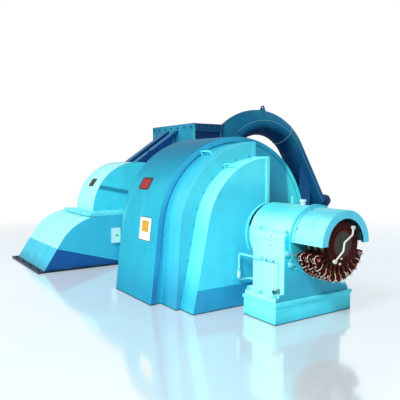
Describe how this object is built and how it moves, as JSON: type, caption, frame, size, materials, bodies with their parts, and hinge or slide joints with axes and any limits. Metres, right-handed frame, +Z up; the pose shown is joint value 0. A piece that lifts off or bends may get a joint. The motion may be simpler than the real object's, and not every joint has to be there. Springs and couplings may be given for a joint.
{
  "type": "horizontal hydroelectric generator set",
  "caption": "Arch-housed generator with slip-ring end, coupled to a low plate-cased impulse turbine that is fed from above by a bent steel pipe.",
  "frame": {"origin": "on the floor, under the shaft line, at the generator housing's mid-length", "axes": "+X along the shaft towards the slip rings, +Y across towards the feed pipe's inlet, +Z up"},
  "size_m": [5.607, 6.8011, 2.7971],
  "materials": {
    "turquoise_paint": "glossy enamel",
    "pale_turquoise_paint": "glossy enamel",
    "teal_paint": "satin enamel",
    "navy_paint": "satin enamel",
    "maroon_varnish": "insulating varnish",
    "slip_ring_steel": "polished by the brushes",
    "holder_brass": "dull brass",
    "shaft_steel": "machined",
    "bearing_metal": "machined",
    "fitting_steel": "zinc plated",
    "pipe_copper": "dull copper",
    "white_enamel": "gloss"
  },
  "bodies": {
    "stationary_set": {"branch_collar": "teal_paint", "brush_holders": "holder_brass", "brush_hood": "pale_turquoise_paint", "brush_studs": "fitting_steel", "brush_yokes": "maroon_varnish", "casing_box": "white_enamel", "chamber_lid": "teal_paint", "duct_rails": "navy_paint", "front_air_cover": "turquoise_paint", "front_bearing_base": "turquoise_paint", "front_bearing_cap": "pale_turquoise_paint", "front_bearing_flange": "pale_turquoise_paint", "front_bearing_liner": "bearing_metal", "front_bearing_pedestal": "pale_turquoise_paint", "front_cover_handles": "turquoise_paint", "front_end_cover": "turquoise_paint", "front_end_plate": "turquoise_paint", "front_seal_ring": "turquoise_paint", "injector_duct": "navy_paint", "inlet_flange": "navy_paint", "nozzle_chamber": "teal_paint", "oil_breather": "pale_turquoise_paint", "oil_drain_pipe": "pipe_copper", "oil_drain_valve": "holder_brass", "oil_filler": "white_enamel", "oil_level_glass": "pale_turquoise_paint", "oil_level_pipe": "pale_turquoise_paint", "pedestal_plugs": "white_enamel", "pipe_bend_crown": "teal_paint", "pipe_bend_fall": "teal_paint", "pipe_bend_rise": "teal_paint", "pipe_branch": "teal_paint", "pipe_leg": "teal_paint", "pipe_lug": "teal_paint", "pipe_support": "navy_paint", "rear_air_cover": "turquoise_paint", "rear_bearing_base": "turquoise_paint", "rear_bearing_cap": "pale_turquoise_paint", "rear_bearing_flange": "pale_turquoise_paint", "rear_bearing_liner": "bearing_metal", "rear_bearing_pedestal": "pale_turquoise_paint", "rear_cover_handles": "turquoise_paint", "rear_end_cover": "turquoise_paint", "rear_end_plate": "turquoise_paint", "rear_seal_ring": "turquoise_paint", "stator_housing": "turquoise_paint", "terminal_knobs": "maroon_varnish", "turbine_base_flange": "navy_paint", "turbine_casing": "turquoise_paint", "turbine_hood": "turquoise_paint", "turbine_hood_plate": "turquoise_paint", "turbine_shaft_housing": "turquoise_paint"},
    "rotor": {"main_shaft": "shaft_steel", "slip_ring_drum": "maroon_varnish", "slip_rings": "slip_ring_steel", "slip_ring_lead": "white_enamel"}
  },
  "joints": [
    {"name": "rotor_spin", "type": "hinge", "parent": "stationary_set", "child": "rotor", "pos_m": [0, 0, 0.815], "axis": [1, 0, 0], "continuous": true}
  ]
}
